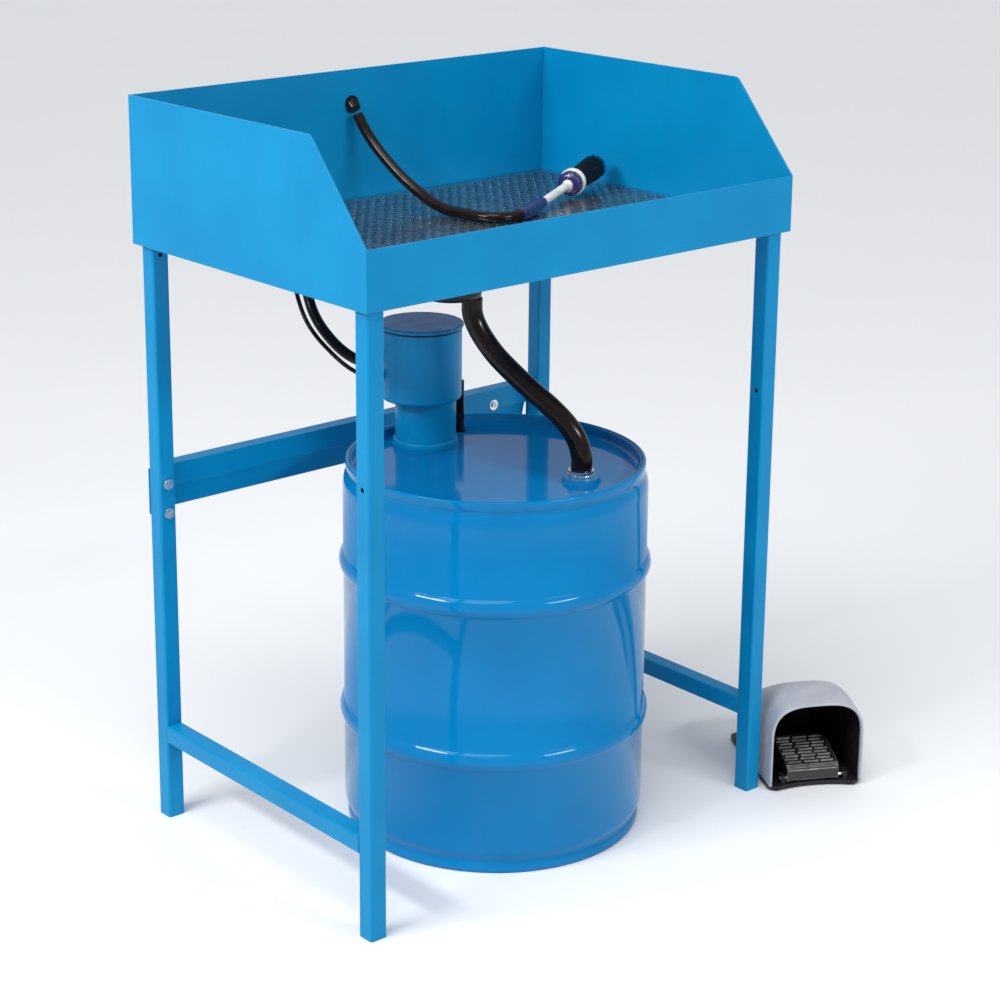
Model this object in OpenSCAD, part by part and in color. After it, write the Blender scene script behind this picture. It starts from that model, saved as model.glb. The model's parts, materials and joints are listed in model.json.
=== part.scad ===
// Parts washer tank: a sheet-steel washing tub on a square-tube frame, standing over a steel drum.
// A drum pump feeds the brush in the tub, the tub drains back into the drum through a dirt trap,
// and a guarded foot switch starts the pump. Millimetres, +Z up, origin on the floor below the
// middle of the whole outfit, foot switch included.

/* [Tub] */
// Outside width of the tub
tub_w = 720; // [680:10:800]
// Outside depth of the tub
tub_d = 492; // [480:2:520]
// Height of the tub's lower edge above the floor
tub_z = 810; // [790:5:840]
// Height of the front lip above the lower edge
lip_h = 75; // [70:1:90]
// Height of the back wall above the lower edge
back_h = 195; // [180:1:220]
// Depth of the sloped front part of each side panel
slope_d = 104; // [80:1:130]
// Sheet thickness of the tub
sheet_t = 2; // [1.5:0.5:2.5]
// Height of the working grate above the lower edge
grate_h = 14; // [13:0.5:16]

/* [Frame] */
// Outside width of the square frame tube
tube_w = 25; // [22:1:30]
// Wall thickness of the frame tube
tube_t = 2; // [1.5:0.5:2.5]
// Distance from the tub's outside to the outside of the legs
leg_inset = 8; // [6:1:12]
// Height of the side bars' lower face above the floor
side_bar_z = 112; // [80:1:200]
// Height of the rear cross member's lower edge above the floor
cross_z = 438; // [420:1:460]
// Height of the rear cross member
cross_h = 64; // [60:1:70]

/* [Drum] */
// Height of the drum
drum_h = 516; // [500:1:530]
// Radius of the drum's body
drum_r = 206; // [200:1:208]
// Radius over the two rolling hoops
hoop_r = 212; // [210:0.5:213]
// Depth of the drum head below the rim
head_drop = 16; // [14:1:20]

/* [Pump] */
// Radius of the pump's head housing
pump_head_r = 56; // [54:0.5:58]
// Radius of the tube between the drum and the head housing
pump_neck_r = 42; // [41:0.5:43]
// Height of the head housing
pump_head_h = 98; // [90:1:104]

/* [Hoses and brush] */
// Diameter of the drain hose
drain_hose_d = 28; // [26:0.5:30]
// Diameter of the supply hose and the brush hose
supply_hose_d = 15; // [13:0.5:16]
// Diameter of the brush's bristle bundle
bristle_d = 37; // [34:1:38]
// Length of the bristles outside their ring
bristle_l = 92; // [80:1:100]

/* [Foot switch] */
// Width of the foot switch
switch_w = 138; // [130:1:142]
// Length of the foot switch
switch_l = 190; // [180:1:200]
// Height of its guard hood
switch_h = 138; // [134:1:142]
// Turn of the foot switch towards the user, in degrees
switch_turn = 29; // [25:1:33]

/* [Hidden] */
$fn = 48;

// Colours
blue = [0.02, 0.45, 0.75];
steel = [0.75, 0.76, 0.78];
rubber = [0.10, 0.08, 0.08];
black = [0.12, 0.12, 0.13];
pale = [0.92, 0.92, 0.90];
navy = [0.10, 0.12, 0.32];
hood_grey = [0.68, 0.69, 0.73];

// Foot switch: its front left corner from the tub's front edge middle, and its corner radius
switch_x = 350;
switch_y = -14;
switch_corner = 14;

// Rear of the hose elbow behind the back wall, the rearmost point of the outfit
elbow_r = 9;
elbow_back = 17;
elbow_z = tub_z + 148;
rear_y = tub_d + elbow_back + elbow_r;

// Extent of the whole outfit measured from the tub's front edge middle, and the shift that
// brings the middle of that extent over the origin
turn_c = cos(switch_turn);
turn_s = sin(switch_turn);
right_x = switch_x + (switch_w - switch_corner) * turn_c + (switch_l - switch_corner) * turn_s
    + switch_corner;
front_y = switch_y - (switch_w - 0.5) * turn_s;
shift_x = -(right_x - tub_w / 2) / 2;
shift_y = -(rear_y + front_y) / 2;

// Places measured from the tub's front edge middle
leg_x = tub_w / 2 - leg_inset - tube_w / 2;
leg_y_front = leg_inset + tube_w / 2;
leg_y_rear = tub_d - leg_inset - tube_w / 2;
floor_top = tub_z + sheet_t;
grate_top = tub_z + grate_h;
grate_t = 1.5;
drum_x = 18;
drum_y = 203;
head_z = drum_h - head_drop;
trap_x = -30;
trap_y = 240;
trap_r = 41;
spigot_x = -6;
spigot_y = 225;
spigot_end_z = 716;
bung_x = 64;
bung_y = 84;
bung_top = head_z + 17;
pump_x = 10;
pump_y = 341;
head_x = pump_x - 8;
housing_z = 570;
housing_top = housing_z + pump_head_h;
riser_angle = 143;
riser_offset = 27;
outlet_z = 620;
lead_z = 606;
lead_angle = 159;
lid_gap = 3;
wheel_z = 48;
hole_z = 590;

// Hose routes, measured from the tub's front edge middle
drain_route = [
    [-6, 225, 733], [-6, 225, 716], [-4, 221, 700], [1, 210, 680], [9, 193, 658],
    [20, 170, 636], [32, 146, 615], [44, 123, 596], [54, 103, 576], [61, 90, 555],
    [64, 84, 533], [64, 84, 516]
];
supply_route = [
    [-42, 380, 620], [-54, 389, 620], [-64, 396, 622], [-73, 405, 628], [-80, 420, 638],
    [-84, 440, 652], [-84, 461, 667], [-81, 480, 684], [-77, 495, 707], [-71, 505, 737],
    [-61, 509, 775], [-45, 509, 820], [-24, 509, 865], [-8, 509, 900], [0, 509, 922],
    [0, 509, 944]
];
lead_route = [
    [-62, 365, 606], [-74, 370, 608], [-85, 381, 614], [-93, 397, 624], [-98, 418, 637],
    [-101, 440, 651], [-101, 462, 667], [-99, 480, 686], [-97, 494, 710], [-97, 501, 740],
    [-99, 504, 775], [-100, 504, 805], [-100, 504, 832]
];
brush_route_rear = [
    [0, 476, 944], [3, 464, 925], [7, 446, 904], [11, 424, 885], [15, 399, 867],
    [19, 372, 852], [22, 344, 840], [25, 315, 833], [28, 292, 832]
];
brush_route_front = [
    [28, 291, 832], [30, 275, 832], [32, 258, 832], [38, 243, 832], [50, 232, 832],
    [66, 228, 832], [84, 231, 832], [100, 237, 832], [116, 244, 833]
];

// Brush: its axis starts at the hose's end and leans up to the tub's right wall
brush_start = [116.6, 244.3, 833.1];
brush_turn = 25;
brush_rise = 5;

// ---- helpers ----

// Places a piece measured from the tub's front edge middle
module in_frame() {
    translate([shift_x, shift_y, 0]) children();
}

// Places a piece in the foot switch's own axes: X across, Y from the mouth to the back
module in_switch() {
    in_frame() translate([switch_x, switch_y, 0]) rotate([0, 0, -switch_turn]) children();
}

// Places a piece along the brush's axis, which becomes +Z
module along_brush() {
    in_frame() translate(brush_start) rotate([0, 90 - brush_rise, brush_turn]) children();
}

// Square with rounded corners
module soft_square(w, d, r) {
    square([w, d - 2 * r], center = true);
    square([w - 2 * r, d], center = true);
    for (x = [-1, 1], y = [-1, 1]) translate([x * (w / 2 - r), y * (d / 2 - r)]) circle(r);
}

// Pipe standing on z = 0
module pipe(r_out, r_in, h) {
    difference() {
        cylinder(r = r_out, h = h);
        translate([0, 0, -1]) cylinder(r = r_in, h = h + 2);
    }
}

// Length of square frame tube standing on z = 0
module frame_tube(h) {
    linear_extrude(h) difference() {
        soft_square(tube_w, tube_w, 3);
        soft_square(tube_w - 2 * tube_t, tube_w - 2 * tube_t, 1.5);
    }
}

// Points of an arc round c, from angle a to angle b
function arc(c, r, a, b, n = 8) =
    [for (i = [0:n]) [c[0] + r * cos(a + (b - a) * i / n), c[1] + r * sin(a + (b - a) * i / n)]];

// Smooth curve through a route's points, with n steps between neighbours
function blend4(p, q, r, s, t) = 0.5 * (2 * q + (r - p) * t + (2 * p - 5 * q + 4 * r - s) * t * t
    + (3 * q - p - 3 * r + s) * t * t * t);
function curve(pts, n) = [
    for (i = [0:len(pts) - 2], k = [0:n - 1])
        blend4(pts[max(i - 1, 0)], pts[i], pts[i + 1], pts[min(i + 2, len(pts) - 1)], k / n),
    pts[len(pts) - 1]
];
function unit(v) = v / norm(v);
function heading(pts, i) = unit(pts[min(i + 1, len(pts) - 1)] - pts[max(i - 1, 0)]);

// Ring of n points of radius r round p, square to heading t; side is never parallel to t
function ring(p, t, side, r, n) =
    let (u = unit(cross(t, side)), v = cross(t, u))
    [for (k = [0:n - 1]) p + r * (u * cos(360 * k / n) + v * sin(360 * k / n))];

// Round hose of diameter d along a route, as one closed skin
module hose(route, d, side, n = 10, steps = 2) {
    path = curve(route, steps);
    m = len(path);
    points = [for (i = [0:m - 1]) each ring(path[i], heading(path, i), side, d / 2, n)];
    faces = [
        for (i = [0:m - 2], k = [0:n - 1]) let (a = i * n + k, b = i * n + (k + 1) % n)
            each [[a, b, b + n], [a, b + n, a + n]],
        [for (k = [n - 1:-1:0]) k],
        [for (k = [0:n - 1]) (m - 1) * n + k]
    ];
    polyhedron(points, faces);
}

// Hexagon head, nut or washer stack helpers stand on z = 0
module hex(across, h) {
    cylinder(r = across / sqrt(3), h = h, $fn = 6);
}

// ---- tub ----

// Outline of a side panel: the front part slopes and both breaks are rounded
module panel_outline() {
    slope_a = atan2(back_h - lip_h, slope_d);
    r = 14;
    shift = r * tan(slope_a / 2);
    polygon(concat(
        [[0, 0], [tub_d, 0], [tub_d, back_h]],
        arc([slope_d + shift, back_h - r], r, 90, 90 + slope_a),
        [[0, lip_h]]
    ));
}

module tub() color(blue) in_frame() {
    translate([0, 0, tub_z]) difference() {
        union() {
            for (x = [-tub_w / 2, tub_w / 2 - sheet_t])
                translate([x, 0, 0]) rotate([90, 0, 90]) linear_extrude(sheet_t) panel_outline();
            translate([-tub_w / 2, 0, 0]) cube([tub_w, sheet_t, lip_h]);
            translate([-tub_w / 2, tub_d - sheet_t, 0]) cube([tub_w, sheet_t, back_h]);
            translate([-tub_w / 2, 0, 0]) cube([tub_w, tub_d, sheet_t]);
        }
        translate([trap_x, trap_y, -1]) cylinder(r = 33, h = sheet_t + 2);
        translate([0, tub_d + 1, elbow_z - tub_z]) rotate([90, 0, 0]) cylinder(r = 8, h = sheet_t + 2);
    }
}

// Angle strips along the walls and two bars across, which carry the grate
module grate_supports() color(blue) in_frame() {
    h = grate_top - grate_t - floor_top;
    gap = sheet_t + 0.5;
    for (x = [-1, 1]) translate([x * (tub_w / 2 - gap - 6), tub_d / 2, floor_top]) {
        translate([-6, -tub_d / 2 + gap, h - 1.5]) cube([12, tub_d - 2 * gap, 1.5]);
        translate([x * 6 - (x > 0 ? 1.5 : 0), -tub_d / 2 + gap, 0])
            cube([1.5, tub_d - 2 * gap, h]);
    }
    for (x = [-160, 160]) translate([x - 6, gap, floor_top]) {
        cube([1.5, tub_d - 2 * gap, h]);
        translate([0, 0, h - 1.5]) cube([12, tub_d - 2 * gap, 1.5]);
        translate([10.5, 0, 0]) cube([1.5, tub_d - 2 * gap, h]);
    }
}

// Perforated working grate with staggered slots, which lies loose on the strips
grate_gap = 3;
slot_l = 26;
slot_w = 5;
slot_pitch_x = 34;
slot_pitch_y = 15.5;
module grate() color(steel) in_frame() {
    w = tub_w - 2 * sheet_t - 2 * grate_gap;
    d = tub_d - 2 * sheet_t - 2 * grate_gap;
    cols = floor((w - 24) / slot_pitch_x);
    rows = floor((d - 20) / slot_pitch_y);
    translate([0, tub_d / 2, grate_top - grate_t]) linear_extrude(grate_t) difference() {
        square([w, d], center = true);
        for (j = [0:rows - 1], i = [0:cols - 1 - j % 2])
            translate([
                (i - (cols - 1 - j % 2) / 2) * slot_pitch_x,
                (j - (rows - 1) / 2) * slot_pitch_y
            ]) square([slot_l, slot_w], center = true);
    }
}

// ---- frame ----

module leg(x, y, drilled) {
    in_frame() translate([x, y, 0]) difference() {
        frame_tube(tub_z);
        translate([0, drilled ? 0 : -tube_w, tub_z - 12]) rotate([-90, 0, 0])
            cylinder(r = 3.2, h = 2 * tube_w);
        if (drilled) translate([-tube_w, 0, hole_z]) rotate([0, 90, 0])
            cylinder(r = 3.5, h = 2 * tube_w);
        if (!drilled) for (z = [cross_z + 6, cross_z + 47])
            translate([0, -tube_w, z]) rotate([-90, 0, 0]) cylinder(r = 4.2, h = 2 * tube_w);
    }
}
module leg_front_left() color(blue) leg(-leg_x, leg_y_front, true);
module leg_front_right() color(blue) leg(leg_x, leg_y_front, true);
module leg_rear_left() color(blue) leg(-leg_x, leg_y_rear, false);
module leg_rear_right() color(blue) leg(leg_x, leg_y_rear, false);

module side_bar(x) {
    in_frame() translate([x, leg_y_front + tube_w / 2, side_bar_z + tube_w / 2]) rotate([-90, 0, 0])
        frame_tube(leg_y_rear - leg_y_front - tube_w);
}
module side_bar_left() color(blue) side_bar(-leg_x);
module side_bar_right() color(blue) side_bar(leg_x);

// Folded cross member behind the rear legs: a top flange, an upright band, a step inwards and
// a band that leans back, with flat tabs welded on where the legs are bolted
module cross_member() color(blue) in_frame() {
    y = leg_y_rear + tube_w / 2;
    t = 2;
    half = leg_x - tube_w / 2;
    fold = 33;
    step = 5;
    lean = 13;
    translate([-half, y, cross_z]) rotate([90, 0, 90]) linear_extrude(2 * half) polygon([
        [lean, 0], [lean + t, 0], [step + t, fold], [t, fold + t], [t, cross_h - t],
        [22, cross_h - t], [22, cross_h], [0, cross_h], [0, fold], [step, fold - t]
    ]);
    for (x = [-1, 1]) difference() {
        translate([x * leg_x - tube_w / 2, y, cross_z]) cube([tube_w, t, cross_h]);
        for (z = [6, 47]) translate([x * leg_x, y - 1, cross_z + z]) rotate([-90, 0, 0])
            cylinder(r = 4.2, h = t + 2);
    }
}

// Short tubes welded under the tub, over which the legs slide
socket_w = tube_w - 2 * tube_t - 0.6;
socket_l = 50;
module leg_sockets() color(blue) in_frame() {
    for (x = [-leg_x, leg_x], y = [leg_y_front, leg_y_rear])
        translate([x, y, tub_z - socket_l]) difference() {
            linear_extrude(socket_l) difference() {
                soft_square(socket_w, socket_w, 1.5);
                soft_square(socket_w - 4, socket_w - 4, 1);
            }
            translate([0, -tube_w, socket_l - 12]) rotate([-90, 0, 0])
                cylinder(r = 3.2, h = 2 * tube_w);
        }
}

// Plastic plugs in the legs' lower ends, flush with the tube
module leg_end_plugs() color(black) in_frame() {
    w = tube_w - 2 * tube_t - 0.2;
    for (x = [-leg_x, leg_x], y = [leg_y_front, leg_y_rear]) translate([x, y, 0])
        linear_extrude(14) difference() {
            soft_square(w, w, 1.5);
            square([4, 4], center = true);
        }
}

// Pan-head bolt along +Y with its head's seat at y = 0
module bolt_y(head_r, head_h, shank_r, shank_l) {
    rotate([-90, 0, 0]) {
        translate([0, 0, -head_h]) difference() {
            cylinder(r = head_r, h = head_h);
            translate([0, 0, -1]) hex(shank_r, head_h * 0.6 + 1);
        }
        cylinder(r = shank_r, h = shank_l);
    }
}

module socket_bolts() color(steel) in_frame() {
    for (x = [-leg_x, leg_x], y = [leg_y_front, leg_y_rear])
        translate([x, y + tube_w / 2, tub_z - 12]) rotate([0, 0, 180]) bolt_y(5, 3, 3, 14);
}

module cross_bolts() color(steel) in_frame() {
    for (x = [-leg_x, leg_x], z = [6, 47]) translate([x, leg_y_rear - tube_w / 2, cross_z + z])
        bolt_y(7.5, 4.5, 4, tube_w + 11);
}

module cross_nuts() color(steel) in_frame() {
    for (x = [-leg_x, leg_x], z = [6, 47])
        translate([x, leg_y_rear + tube_w / 2 + 2, cross_z + z]) rotate([-90, 0, 0]) difference() {
            union() {
                cylinder(r = 7.5, h = 1.4);
                translate([0, 0, 1.4]) hex(13, 6.5);
            }
            translate([0, 0, -1]) cylinder(r = 4.05, h = 10);
        }
}

// Bonding screw with a broad washer on the cross member's upright band
module earth_screw() color(pale) in_frame() {
    translate([260, leg_y_rear + tube_w / 2, cross_z + 40]) rotate([90, 0, 0]) difference() {
        union() {
            cylinder(r = 8, h = 1.4);
            translate([0, 0, 1.4]) cylinder(r = 4.5, h = 2.6);
        }
        for (a = [0, 90]) rotate([0, 0, a]) translate([-3, -0.6, 2.6]) cube([6, 1.2, 2]);
    }
}

// ---- drain ----

// Dirt trap under the tub floor, with a neck through the floor and an off-centre outlet
module drain_trap() color(black) in_frame() {
    z0 = 734;
    difference() {
        union() {
            translate([trap_x, trap_y, 0]) rotate_extrude() polygon(concat(
                [[0, z0]], arc([trap_r - 10, z0 + 10], 10, -90, 0, 6),
                [[trap_r, tub_z - 8], [trap_r + 6, tub_z - 8], [trap_r + 6, tub_z - 2],
                [32, tub_z - 2], [32, floor_top + 0.5], [0, floor_top + 0.5]]
            ));
            translate([spigot_x, spigot_y, spigot_end_z]) cylinder(r = 12, h = z0 + 4 - spigot_end_z);
        }
        translate([trap_x, trap_y, z0 + 3]) cylinder(r = 29, h = tub_z);
        translate([trap_x, trap_y, z0 + 3]) cylinder(r = trap_r - 3, h = tub_z - 10 - z0);
        translate([spigot_x, spigot_y, spigot_end_z - 1]) cylinder(r = 9.5, h = 40);
    }
}

module trap_gasket() color(rubber) in_frame() {
    translate([trap_x, trap_y, tub_z - 2]) pipe(46, 33, 2);
}

// Ring screwed on the trap's neck from inside the tub
module trap_ring() color(black) in_frame() {
    translate([trap_x, trap_y, floor_top]) difference() {
        pipe(42, 32.2, 3.5);
        for (a = [0:45:315]) rotate([0, 0, a]) translate([42, 0, -1]) cylinder(r = 3, h = 6);
    }
}

// Slotted dirt basket hanging in the trap's neck
module strainer_basket() color(steel) in_frame() {
    h = 58;
    translate([trap_x, trap_y, floor_top + 0.5 - h]) difference() {
        union() {
            pipe(27, 26, h);
            cylinder(r = 27, h = 1);
            translate([0, 0, h]) pipe(31, 26, 1);
        }
        for (a = [0:30:330]) rotate([0, 0, a]) translate([20, -2, 8]) cube([10, 4, h - 20]);
    }
}

module drain_hose() color(rubber) in_frame() {
    hose(drain_route, drain_hose_d, [147, 70, 0], 12);
}

// ---- drum ----

// One rolling hoop's bulge as outline points, centred at height z
function hoop(z) = [
    for (i = [0:12])
        let (a = -90 + 15 * i)
        [drum_r + (hoop_r - drum_r) * cos(a) * cos(a), z + 13 * sin(a)]
];

// Drum shell with rolled chimes top and bottom, drawn as one wall section
drum_rim = drum_r - 4;
chime_h = 12;
drum_wall = 1.6;
function inner_r(p) =
    p[1] < chime_h || p[1] > drum_h - chime_h ? drum_rim - 5.8 : p[0] - drum_wall;
module drum_body() color(blue) in_frame() {
    outside = concat(
        [[drum_rim - 5, 0]], arc([drum_rim - 3, 3], 3, -90, 0, 5),
        [[drum_rim, 11], [drum_rim - 3, 15], [drum_r, 30]], hoop(160), hoop(373),
        [[drum_r, drum_h - 34], [drum_r - 1.5, drum_h - 24], [drum_rim - 3, drum_h - 15]],
        [[drum_rim, drum_h - 11]], arc([drum_rim - 3, drum_h - 3], 3, 0, 90, 5),
        [[drum_rim - 5, drum_h]]
    );
    inside = [for (i = [len(outside) - 1:-1:0]) [inner_r(outside[i]), outside[i][1]]];
    translate([drum_x, drum_y, 0]) rotate_extrude($fn = 96) polygon(concat(outside, inside));
}

// Top head: a shallow pan with raised seats for the pump and the drain hose
module drum_head() color(blue) in_frame() {
    r = drum_r - 10.2;
    difference() {
        union() {
            translate([drum_x, drum_y, 0]) rotate_extrude($fn = 96) polygon([
                [0, head_z - 2], [r, head_z - 2], [r, drum_h - 2], [r - 1.6, drum_h - 2],
                [r - 2.4, head_z + 3], [r - 6, head_z], [0, head_z]
            ]);
            translate([bung_x, bung_y, head_z - 1]) cylinder(r1 = 27, r2 = 24, h = 8);
            translate([pump_x, pump_y, head_z - 1]) cylinder(r = 46, h = 5);
        }
        translate([bung_x, bung_y, head_z - 5]) cylinder(r = 16, h = 20);
        translate([pump_x, pump_y, head_z - 5]) cylinder(r = 36, h = 20);
        translate([88, 359, head_z - 5]) cylinder(r = 6.4, h = 20);
    }
}

module drum_base() color(blue) in_frame() {
    translate([drum_x, drum_y, 8]) cylinder(r = drum_r - 10.2, h = 2, $fn = 96);
}

// Plated hose nipple screwed into the drum's bung
module drain_bung() color(steel) in_frame() {
    translate([bung_x, bung_y, head_z - 12]) difference() {
        union() {
            cylinder(r = 16, h = 19);
            translate([0, 0, 19]) cylinder(r = 18, h = 3.4);
            translate([0, 0, 22.4]) cylinder(r = 16.5, h = 2);
            translate([0, 0, 24.4]) cylinder(r = 17.5, h = 3.4);
            cylinder(r = 12, h = 44);
        }
        translate([0, 0, -1]) cylinder(r = 9.5, h = 60);
    }
}

// Breather pipe in the drum head beside the pump
module vent_pipe() color(rubber) in_frame() {
    translate([88, 359, head_z - 14]) difference() {
        union() {
            cylinder(r = 5.6, h = 88);
            translate([0, 0, 14]) cylinder(r = 8, h = 4);
            cylinder(r = 6.4, h = 14);
        }
        translate([0, 0, -1]) cylinder(r = 3.6, h = 94);
    }
}

// ---- pump ----

module pump_collar() color(blue) in_frame() {
    translate([pump_x, pump_y, 0]) rotate_extrude() polygon(concat(
        [[35.8, head_z - 14], [35.8, head_z + 4], [45, head_z + 4]],
        arc([42, head_z + 9], 3, 0, 90, 4), [[pump_neck_r + 0.2, head_z + 12]],
        [[pump_neck_r + 0.2, head_z + 8], [33, head_z + 8], [33, head_z - 14]]
    ));
}

module pump_neck() color(blue) in_frame() {
    translate([pump_x, pump_y, head_z + 8]) pipe(pump_neck_r, pump_neck_r - 2, housing_z - head_z - 8);
}

// Eccentric head housing with a rounded lower edge, closed by the lid
module pump_housing() color(blue) in_frame() {
    difference() {
        translate([head_x, pump_y, 0]) rotate_extrude() polygon(concat(
            [[0, housing_z]], arc([pump_head_r - 5, housing_z + 5], 5, -90, 0, 5),
            [[pump_head_r, housing_top], [0, housing_top]]
        ));
        translate([head_x, pump_y, housing_z + 3]) cylinder(r = pump_head_r - 2.5, h = pump_head_h);
        translate([pump_x, pump_y, housing_z - 1]) cylinder(r = 39.5, h = 10);
        translate([pump_x, pump_y, outlet_z]) rotate([0, 90, riser_angle]) cylinder(r = 8, h = 80);
        translate([head_x, pump_y, lead_z]) rotate([0, 90, lead_angle]) cylinder(r = 6, h = 80);
    }
}

module pump_gasket() color(rubber) in_frame() {
    translate([head_x, pump_y, housing_top]) pipe(pump_head_r - 0.6, pump_head_r - 2.6, lid_gap);
}

// Push-on lid that overhangs the housing, with a collar inside and a finger notch in its rim
module pump_lid() color(blue) in_frame() {
    translate([head_x, pump_y, housing_top + lid_gap]) difference() {
        union() {
            rotate_extrude() polygon(concat(
                [[0, 0], [57, 0]], arc([57, 1.5], 1.5, -90, 0, 4), arc([56.5, 3], 2, 0, 90, 4),
                [[0, 5]]
            ));
            translate([0, 0, -10]) pipe(pump_head_r - 2.8, pump_head_r - 5, 10.5);
        }
        rotate([0, 0, -81]) translate([61, 0, -1]) cylinder(r = 4.5, h = 10);
    }
}

// Motor: a mounting flange on the housing's floor and a stator pot round the rotor
module motor_stator() color(black) in_frame() {
    translate([pump_x, pump_y, housing_z + 3]) difference() {
        union() {
            cylinder(r = 44, h = 4);
            cylinder(r = 21, h = 80);
        }
        translate([0, 0, 14]) cylinder(r = 13, h = 58);
        translate([0, 0, -1]) cylinder(r = 6.5, h = 90);
        rotate([0, 0, riser_angle]) translate([riser_offset, 0, -1]) cylinder(r = 5.6, h = 90);
    }
}

module motor_rotor() color(steel) in_frame() {
    translate([pump_x, pump_y, housing_z + 21]) pipe(12.4, 5, 48);
}

module pump_shaft() color(steel) in_frame() {
    translate([pump_x, pump_y, wheel_z]) cylinder(r = 5, h = housing_z + 70 - wheel_z);
}

// Column tube that carries the pump chamber inside the drum
module pump_column() color(steel) in_frame() {
    translate([pump_x, pump_y, wheel_z + 22]) pipe(13, 10.5, housing_z + 3 - wheel_z - 22);
    translate([pump_x, pump_y, head_z + 8]) difference() {
        pipe(pump_neck_r - 2.4, 13, 4);
        rotate([0, 0, riser_angle]) translate([riser_offset, 0, -1]) cylinder(r = 5.8, h = 6);
    }
}

module pump_chamber() color(steel) in_frame() {
    translate([pump_x, pump_y, wheel_z - 14]) difference() {
        union() {
            cylinder(r = 30, h = 36);
            rotate([0, 0, riser_angle]) translate([20, -8, 16]) cube([16, 16, 20]);
        }
        translate([0, 0, 4]) cylinder(r = 26, h = 22);
        translate([0, 0, -1]) cylinder(r = 12, h = 8);
        translate([0, 0, 20]) cylinder(r = 10.5, h = 20);
        rotate([0, 0, riser_angle]) translate([riser_offset, 0, 22]) cylinder(r = 5.5, h = 20);
    }
}

// Impeller: a hub, a back plate and five blades
module impeller() color(black) in_frame() {
    translate([pump_x, pump_y, wheel_z - 8]) {
        difference() {
            union() {
                translate([0, 0, 10]) cylinder(r = 23, h = 3);
                cylinder(r = 9, h = 13);
            }
            translate([0, 0, 8]) cylinder(r = 5, h = 10);
        }
        for (a = [0:72:288]) rotate([0, 0, a]) translate([7, -1.2, 3]) cube([15.5, 2.4, 7.5]);
    }
}

module riser_tube() color(steel) in_frame() {
    translate([pump_x, pump_y, 0]) rotate([0, 0, riser_angle]) translate([riser_offset, 0, wheel_z + 22])
        cylinder(r = 5.4, h = outlet_z - wheel_z - 22 + 5);
}

module outlet_spigot() color(steel) in_frame() {
    translate([pump_x, pump_y, outlet_z]) rotate([0, 90, riser_angle]) difference() {
        union() {
            translate([0, 0, riser_offset + 5]) cylinder(r = 5.4, h = 47);
            translate([0, 0, 62]) cylinder(r = 10, h = 3);
        }
        translate([0, 0, riser_offset]) cylinder(r = 3.6, h = 60);
    }
}

module inlet_screen() color(steel) in_frame() {
    translate([pump_x, pump_y, 14]) difference() {
        pipe(22, 20.5, wheel_z - 28);
        for (a = [0:30:330]) rotate([0, 0, a]) translate([15, -1.5, 4]) cube([10, 3, 11]);
    }
}

// Gland at the pump head, glands under the junction box and the foot switch's gland
module gland(r, h) {
    difference() {
        union() {
            hex(2.4 * r, h * 0.4);
            cylinder(r = r, h = h);
        }
        translate([0, 0, -1]) cylinder(r = 2.9, h = h + 2);
    }
}
module cable_glands() color(black) {
    in_frame() {
        translate([head_x, pump_y, lead_z]) rotate([0, 90, lead_angle]) translate([0, 0, pump_head_r])
            gland(6, 12);
        for (x = [-124, -100, -76]) translate([x, 504, 844]) rotate([180, 0, 0]) gland(6, 12);
    }
}

module supply_hose() color(rubber) in_frame() {
    hose(supply_route, supply_hose_d, [1, 0.3, 0]);
}
module pump_lead() color(rubber) in_frame() {
    hose(lead_route, 6, [1, 0.3, 0], 8);
}

// Terminal box on the outside of the back wall
module junction_box() color(black) in_frame() {
    translate([-142, tub_d, 844]) difference() {
        cube([84, 20, 64]);
        translate([3, 3, 3]) cube([78, 20, 58]);
        for (x = [18, 42, 66]) translate([x, 12, -1]) cylinder(r = 3, h = 6);
    }
}
module junction_cover() color(black) in_frame() {
    translate([-142, tub_d + 20, 844]) difference() {
        cube([84, 4, 64]);
        for (x = [7, 77], z = [7, 57]) translate([x, 2.5, z]) rotate([-90, 0, 0]) cylinder(r = 3, h = 3);
    }
}

// Elbow behind the back wall that turns the supply hose through it
module wall_elbow() color(black) in_frame() {
    translate([0, tub_d, elbow_z]) difference() {
        union() {
            rotate([-90, 0, 0]) cylinder(r = 13, h = 5);
            rotate([-90, 0, 0]) cylinder(r = elbow_r, h = elbow_back);
            translate([0, elbow_back, 0]) sphere(r = elbow_r);
            translate([0, elbow_back, -14]) cylinder(r = elbow_r, h = 14);
            translate([0, elbow_back, -34]) cylinder(r = 5.5, h = 24);
            translate([0, -sheet_t - 3, 0]) rotate([-90, 0, 0]) cylinder(r = 7.8, h = 8);
        }
        translate([0, elbow_back, -40]) cylinder(r = 3.8, h = 40);
        translate([0, -10, 0]) rotate([-90, 0, 0]) cylinder(r = 3.8, h = elbow_back + 10);
    }
}

// Rubber grommet inside the tub: a flange and a short collar tipped down along the brush hose
module hose_grommet() color(rubber) in_frame() {
    translate([0, tub_d - sheet_t, elbow_z]) difference() {
        union() {
            rotate([90, 0, 0]) cylinder(r = 11, h = 2.5);
            translate([0, -1, -1]) rotate([135, 0, 0]) cylinder(r1 = 10.5, r2 = 9.2, h = 9);
        }
        translate([0, 1, 0]) rotate([90, 0, 0]) cylinder(r = 7.9, h = 5);
        translate([-20, 0, -20]) cube([40, 20, 40]);
    }
}

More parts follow.
